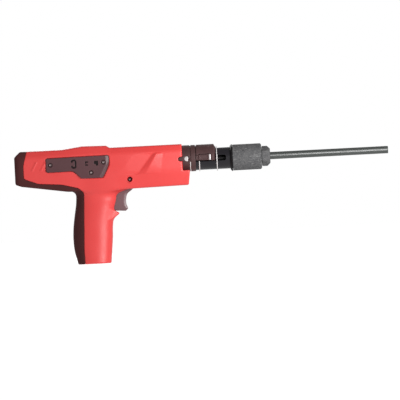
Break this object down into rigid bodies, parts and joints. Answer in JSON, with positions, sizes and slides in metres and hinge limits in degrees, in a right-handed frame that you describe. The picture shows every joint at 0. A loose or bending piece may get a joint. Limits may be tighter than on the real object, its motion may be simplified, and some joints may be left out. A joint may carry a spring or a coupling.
{
  "type": "powder-actuated nail gun",
  "caption": "Strip-fed powder-actuated nail gun: two-part housing with pistol grip and soft back, pull-to-cycle barrel with piston and sleeve, and a long slim nose tube.",
  "frame": {"origin": "centre of the butt's flat rear face, on the drive axis", "axes": "+X along the drive axis to the muzzle, +Z away from the grip's foot, -Y the tool's right-hand side"},
  "size_m": [0.497, 0.052, 0.1565],
  "materials": {
    "red_plastic": "satin moulded polymer with a fine grain",
    "soft_rubber": "matte soft-touch skin",
    "plate_plastic": "satin moulded polymer",
    "blackened_steel": "blackened, semi-gloss, worn bright at the edges",
    "sleeve_coating": "grainy matte coating",
    "tube_steel": "phosphated, satin",
    "bright_steel": "bright turned steel",
    "spring_steel": "drawn wire",
    "polyurethane": "amber, matte"
  },
  "bodies": {
    "housing": {"right_shell": "red_plastic", "left_shell": "red_plastic", "foot_plate": "red_plastic", "rubber_backstrap": "soft_rubber", "right_side_plate": "plate_plastic", "left_side_plate": "plate_plastic", "right_plate_screw_1": "bright_steel", "right_plate_screw_2": "bright_steel", "right_plate_screw_3": "bright_steel", "left_plate_screw_1": "bright_steel", "left_plate_screw_2": "bright_steel", "left_plate_screw_3": "bright_steel", "trigger_pivot_screw": "bright_steel", "trigger_pivot_nut": "bright_steel", "receiver": "blackened_steel", "collar_lock_pin": "bright_steel", "collar_snap_ring": "bright_steel", "half_cover": "blackened_steel", "lower_retaining_ring": "bright_steel", "front_retaining_ring": "bright_steel", "striker_tube": "tube_steel", "striker_end_plug": "tube_steel", "recoil_pad": "polyurethane", "breech_block": "tube_steel", "strip_guide": "tube_steel", "sear_pin": "bright_steel", "pawl_pin": "bright_steel", "firing_spring": "spring_steel", "press_spring": "spring_steel", "trigger_spring": "spring_steel"},
    "carrier": {"carrier_sleeve": "tube_steel"},
    "barrel": {"barrel_tube": "blackened_steel", "buffer_ring": "polyurethane", "sleeve_collar": "blackened_steel", "muffler_sleeve": "sleeve_coating", "nose_nut": "sleeve_coating", "nose_tube": "tube_steel"},
    "piston": {"piston": "bright_steel", "piston_ring_1": "spring_steel", "piston_ring_2": "spring_steel"},
    "striker": {"striker": "bright_steel"},
    "trigger": {"trigger": "plate_plastic"},
    "trigger_bar": {"trigger_bar": "bright_steel"},
    "sear": {"sear": "bright_steel"},
    "strip_pawl": {"strip_pawl": "bright_steel"},
    "piston_catch": {"piston_catch": "blackened_steel"}
  },
  "joints": [
    {"name": "press_slide", "type": "slide", "parent": "housing", "child": "carrier", "axis": [1, 0, 0], "range_m": [-0.016, 0], "stiffness_N_per_m": 2500, "springref_m": 0.012, "deforming": ["press_spring"]},
    {"name": "cycle_slide", "type": "slide", "parent": "carrier", "child": "barrel", "axis": [1, 0, 0], "range_m": [0, 0.06]},
    {"name": "piston_slide", "type": "slide", "parent": "barrel", "child": "piston", "axis": [1, 0, 0], "range_m": [0, 0.095]},
    {"name": "striker_slide", "type": "slide", "parent": "housing", "child": "striker", "axis": [1, 0, 0], "range_m": [-0.012, 0], "stiffness_N_per_m": 1200, "springref_m": 0.01, "deforming": ["firing_spring"]},
    {"name": "trigger_hinge", "type": "hinge", "parent": "housing", "child": "trigger", "pos_m": [0.1526, 0, -0.0219], "axis": [0, 1, 0], "range_deg": [0, 10], "stiffness_Nm_per_rad": 0.6, "springref_deg": -20.05, "deforming": ["trigger_spring"]},
    {"name": "bar_slide", "type": "slide", "parent": "housing", "child": "trigger_bar", "axis": [1, 0, 0], "range_m": [-0.0012, 0]},
    {"name": "sear_hinge", "type": "hinge", "parent": "housing", "child": "sear", "pos_m": [0.064, 0, -0.0176], "axis": [0, 1, 0], "range_deg": [0, 8]},
    {"name": "pawl_hinge", "type": "hinge", "parent": "housing", "child": "strip_pawl", "pos_m": [0.119, 0, -0.03], "axis": [0, 1, 0], "range_deg": [0, 18]},
    {"name": "catch_slide", "type": "slide", "parent": "housing", "child": "piston_catch", "axis": [0, -1, 0], "range_m": [0, 0.0035], "stiffness_N_per_m": 300, "springref_m": -0.006}
  ],
  "couplings": [
    {"joint": "bar_slide", "follows": "trigger_hinge", "m_per_rad": -0.0068},
    {"joint": "sear_hinge", "follows": "trigger_hinge", "ratio": 0.8},
    {"joint": "pawl_hinge", "follows": "cycle_slide", "rad_per_m": 5.2}
  ]
}
